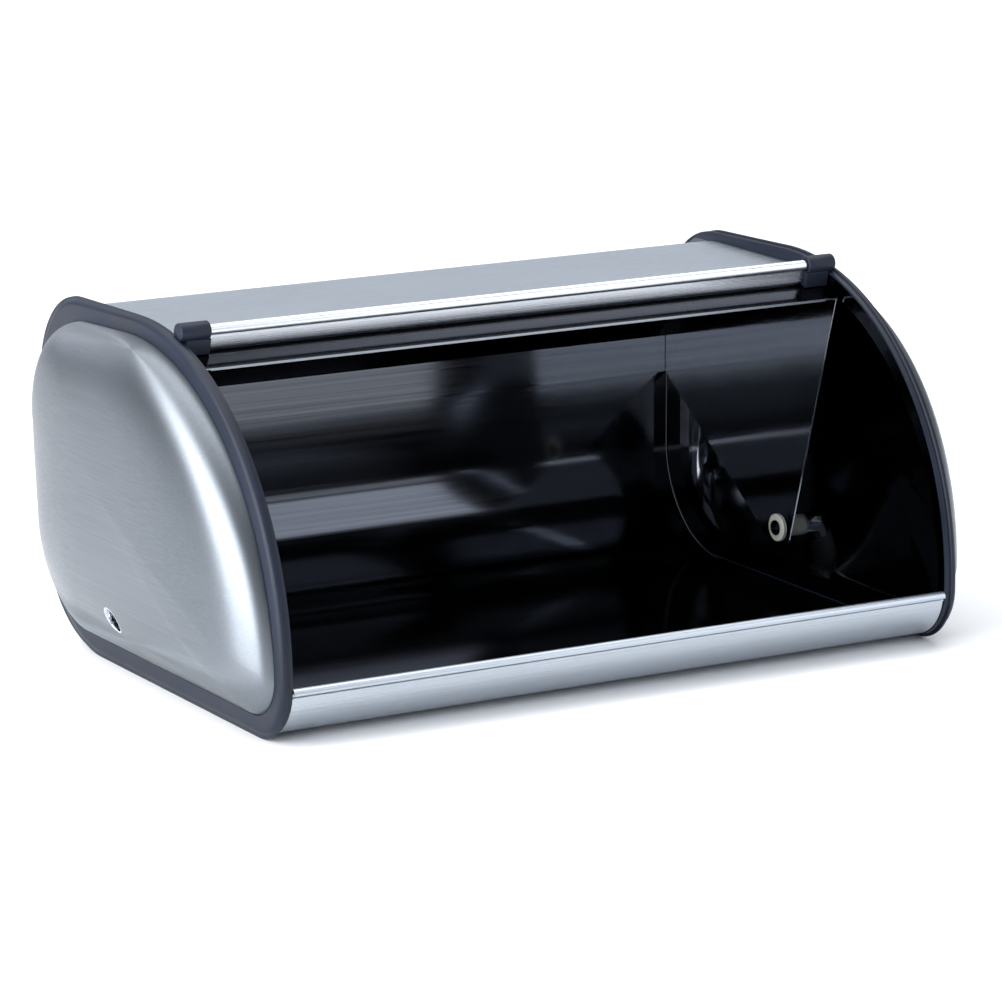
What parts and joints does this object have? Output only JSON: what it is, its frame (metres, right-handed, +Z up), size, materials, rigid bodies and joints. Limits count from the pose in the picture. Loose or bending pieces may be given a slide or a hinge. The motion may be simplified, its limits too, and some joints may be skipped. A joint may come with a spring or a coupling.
{
  "type": "roll-top bread box",
  "caption": "Countertop bread box: a wrapped sheet-steel body between domed side covers, with a drum lid that rolls back on side rivets and parks under the top panel.",
  "frame": {"origin": "middle of the footprint, on the surface that the box stands on", "axes": "+X to the right seen from the front, +Y to the back, +Z up; the lid is open at rest"},
  "size_m": [0.4468, 0.2738, 0.1894],
  "materials": {
    "brushed_steel": "satin brushed stainless steel, fine straight grain",
    "polished_steel": "mirror-polished stainless steel",
    "dark_plastic": "dark blue-black moulded plastic, semi-matte, finely textured",
    "rivet_steel": "plain formed steel rivets and screws",
    "nylon": "natural nylon bushes and washers"
  },
  "bodies": {
    "box": {"back_panel": "brushed_steel", "base_tray": "brushed_steel", "side_cover_right": "brushed_steel", "side_cover_left": "brushed_steel", "trim_right": "dark_plastic", "trim_left": "dark_plastic", "pivot_rivet_right": "rivet_steel", "pivot_rivet_left": "rivet_steel", "pivot_bush_right": "nylon", "pivot_bush_left": "nylon", "pivot_washer_right": "nylon", "pivot_washer_left": "nylon"},
    "lid": {"lid_sheet": "polished_steel", "lid_end_plate_right": "polished_steel", "lid_end_plate_left": "polished_steel", "handle_strip": "polished_steel", "handle_cap_right": "dark_plastic", "handle_cap_left": "dark_plastic", "cap_screw_right": "rivet_steel", "cap_screw_left": "rivet_steel", "handle_rivet_1": "rivet_steel", "handle_rivet_2": "rivet_steel", "handle_rivet_3": "rivet_steel", "handle_rivet_4": "rivet_steel"}
  },
  "joints": [
    {"name": "lid_hinge", "type": "hinge", "parent": "box", "child": "lid", "pos_m": [0, 0.0174, 0.033], "axis": [1, 0, 0], "range_deg": [0, 71]}
  ]
}
